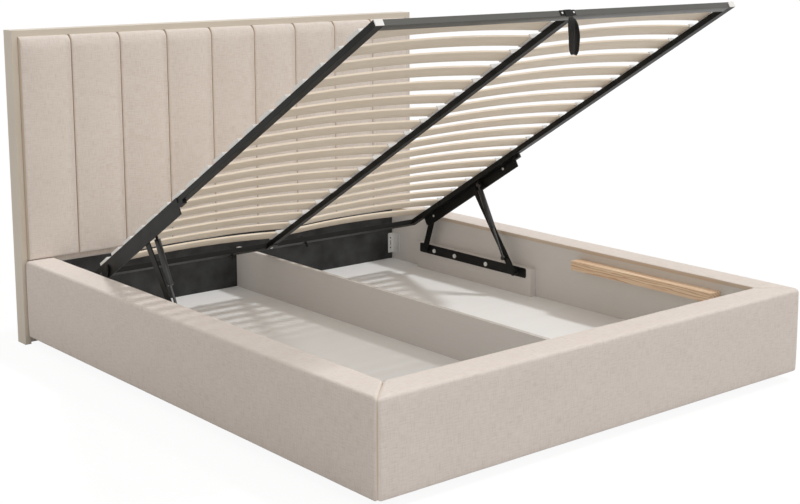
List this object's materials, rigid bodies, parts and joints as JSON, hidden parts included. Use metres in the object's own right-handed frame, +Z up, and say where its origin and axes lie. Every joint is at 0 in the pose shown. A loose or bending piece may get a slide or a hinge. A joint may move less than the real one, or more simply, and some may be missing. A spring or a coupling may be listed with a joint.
{
  "type": "ottoman storage bed",
  "caption": "Upholstered storage bed with a channelled headboard, padded rails, a divided base and a gas-lifted slat frame on coupled links.",
  "frame": {"origin": "on the floor under the middle of the bed's outline, with the slat frame raised", "axes": "+Y from the foot end to the headboard, +X to the right-hand rail as seen from the foot end, +Z up"},
  "size_m": [1.904, 2.206, 1.3164],
  "materials": {
    "border_paint": "smooth satin paint, greenish grey taupe",
    "linen": "beige linen-look cloth over padding",
    "back_cloth": "thin dark backing cloth over board",
    "board": "raw particle board",
    "grey_laminate": "light grey laminated board",
    "white_laminate": "off-white laminated board",
    "dark_felt": "charcoal felt",
    "pine": "planed pine",
    "black_plastic": "matt moulded",
    "black_steel": "satin black powder coat",
    "white_plastic": "matt moulded",
    "birch": "bent laminated birch, clear lacquer",
    "bright_steel": "zinc plated",
    "rod_steel": "dark polished rod",
    "black_webbing": "woven polyester webbing"
  },
  "bodies": {
    "bed": {"base_bolts": "bright_steel", "centre_divider": "grey_laminate", "corner_brackets": "bright_steel", "feet": "black_plastic", "floor_battens": "pine", "foot_inner_panel": "grey_laminate", "foot_rail_core": "board", "foot_rail_cover": "linen", "head_cross_board": "grey_laminate", "head_lining": "dark_felt", "headboard_back_board": "back_cloth", "headboard_channel_1": "linen", "headboard_channel_2": "linen", "headboard_channel_3": "linen", "headboard_channel_4": "linen", "headboard_channel_5": "linen", "headboard_channel_6": "linen", "headboard_channel_7": "linen", "headboard_channel_8": "linen", "headboard_channel_9": "linen", "headboard_left_post": "border_paint", "headboard_lower_panel": "linen", "headboard_right_post": "border_paint", "headboard_top_rail": "border_paint", "left_base_plate": "black_steel", "left_floor_panel": "white_laminate", "left_inner_panel": "grey_laminate", "left_mechanism_spacer": "grey_laminate", "left_rail_core": "board", "left_rail_cover": "linen", "left_support_batten": "pine", "right_base_plate": "black_steel", "right_floor_panel": "white_laminate", "right_inner_panel": "grey_laminate", "right_mechanism_spacer": "grey_laminate", "right_rail_core": "board", "right_rail_cover": "linen", "right_support_batten": "pine"},
    "left_front_link": {"left_front_link": "black_steel"},
    "right_front_link": {"right_front_link": "black_steel"},
    "left_rear_link": {"left_rear_link": "black_steel"},
    "right_rear_link": {"right_rear_link": "black_steel"},
    "left_gas_rod": {"left_gas_rod": "rod_steel"},
    "right_gas_rod": {"right_gas_rod": "rod_steel"},
    "left_gas_cylinder": {"left_gas_cylinder": "black_steel"},
    "right_gas_cylinder": {"right_gas_cylinder": "black_steel"},
    "pull_strap": {"pull_strap": "black_webbing"},
    "slat_frame": {"frame_left_rail": "black_steel", "frame_right_rail": "black_steel", "frame_centre_rail": "black_steel", "frame_foot_bar": "black_steel", "frame_head_bar": "black_steel", "rail_end_plugs": "white_plastic", "left_slats": "birch", "right_slats": "birch", "slat_holders": "white_plastic", "left_frame_bracket": "black_steel", "right_frame_bracket": "black_steel", "frame_clips": "black_steel", "frame_bolts": "bright_steel"}
  },
  "joints": [
    {"name": "lift", "type": "hinge", "parent": "bed", "child": "left_front_link", "pos_m": [-0.77625, 0.16751, 0.179], "axis": [-1, 0, 0], "range_deg": [0, 40.14], "stiffness_Nm_per_rad": 100, "springref_deg": -77.35},
    {"name": "frame_tilt", "type": "hinge", "parent": "left_front_link", "child": "slat_frame", "pos_m": [-0.77625, 0.40143, 0.49337], "axis": [1, 0, 0], "range_deg": [0, 71.2]},
    {"name": "right_front_link_turn", "type": "hinge", "parent": "bed", "child": "right_front_link", "pos_m": [0.77625, 0.16751, 0.179], "axis": [-1, 0, 0], "range_deg": [0, 40.2]},
    {"name": "left_rear_link_turn", "type": "hinge", "parent": "bed", "child": "left_rear_link", "pos_m": [-0.78575, 0.73206, 0.179], "axis": [-1, 0, 0], "range_deg": [0, 72.6]},
    {"name": "left_strut_turn", "type": "hinge", "parent": "left_front_link", "child": "left_gas_rod", "pos_m": [-0.76, 0.2081, 0.23355], "axis": [-1, 0, 0], "range_deg": [0, 6.2]},
    {"name": "left_strut_slide", "type": "slide", "parent": "left_gas_rod", "child": "left_gas_cylinder", "axis": [0, -0.4744, -0.8803], "range_m": [0, 0.0453]},
    {"name": "right_rear_link_turn", "type": "hinge", "parent": "bed", "child": "right_rear_link", "pos_m": [0.78575, 0.73206, 0.179], "axis": [-1, 0, 0], "range_deg": [0, 72.6]},
    {"name": "right_strut_turn", "type": "hinge", "parent": "right_front_link", "child": "right_gas_rod", "pos_m": [0.76, 0.2081, 0.23355], "axis": [-1, 0, 0], "range_deg": [0, 6.2]},
    {"name": "right_strut_slide", "type": "slide", "parent": "right_gas_rod", "child": "right_gas_cylinder", "axis": [0, -0.4744, -0.8803], "range_m": [0, 0.0453]},
    {"name": "strap_swing", "type": "hinge", "parent": "slat_frame", "child": "pull_strap", "pos_m": [-0.008, -0.9102, 1.29081], "axis": [1, 0, 0], "range_deg": [0, 59.05]}
  ],
  "couplings": [
    {"joint": "frame_tilt", "follows": "lift", "ratio": 1.7722},
    {"joint": "right_front_link_turn", "follows": "lift", "ratio": 1},
    {"joint": "left_rear_link_turn", "follows": "lift", "ratio": 1.8065},
    {"joint": "left_strut_turn", "follows": "lift", "ratio": 0.15258},
    {"joint": "left_strut_slide", "follows": "lift", "m_per_rad": 0.063269},
    {"joint": "right_rear_link_turn", "follows": "lift", "ratio": 1.8065},
    {"joint": "right_strut_turn", "follows": "lift", "ratio": 0.15258},
    {"joint": "right_strut_slide", "follows": "lift", "m_per_rad": 0.063269},
    {"joint": "strap_swing", "follows": "lift", "ratio": 1.4697}
  ]
}
